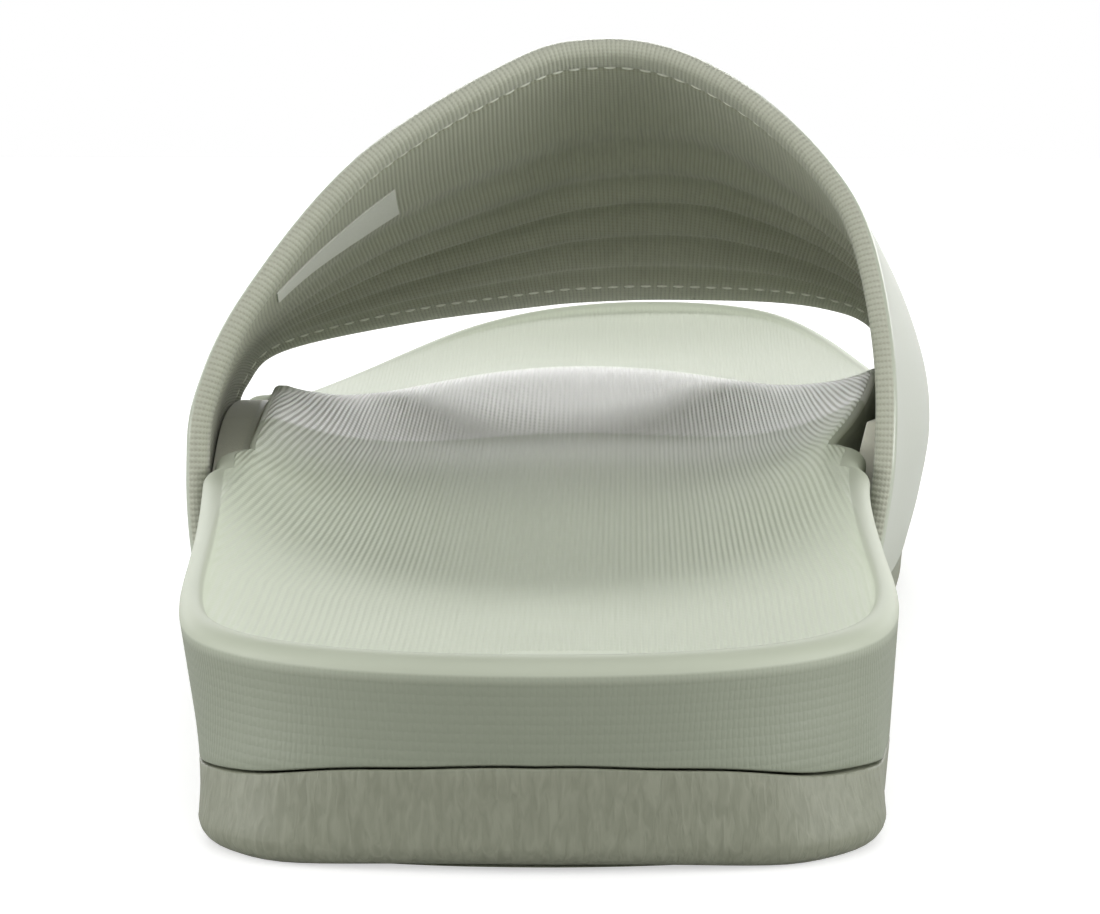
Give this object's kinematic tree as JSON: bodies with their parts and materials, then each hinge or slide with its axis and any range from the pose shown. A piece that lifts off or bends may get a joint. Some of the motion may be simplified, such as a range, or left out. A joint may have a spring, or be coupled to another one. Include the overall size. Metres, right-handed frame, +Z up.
{
  "type": "slide sandal",
  "caption": "Left slide sandal: a two-layer moulded foam sole with a dished heel and toe bar, and one padded band arching over the foot",
  "frame": {"origin": "On the floor under the centre of the sandal's bounding box", "axes": "+Z up from the floor, +Y from the heel to the toe, +X from the little-toe side to the big-toe side"},
  "size_m": [0.1114, 0.303, 0.0866],
  "materials": {
    "tread_foam": "crinkled matte",
    "footbed_foam": "satin",
    "strap_synthetic": "coated, semi-gloss",
    "tab_suede": "brushed"
  },
  "bodies": {
    "root": {"outsole": "tread_foam", "footbed_midsole": "footbed_foam", "strap": "strap_synthetic", "strap_tab_lateral": "tab_suede", "strap_tab_medial": "tab_suede"}
  },
  "joints": []
}
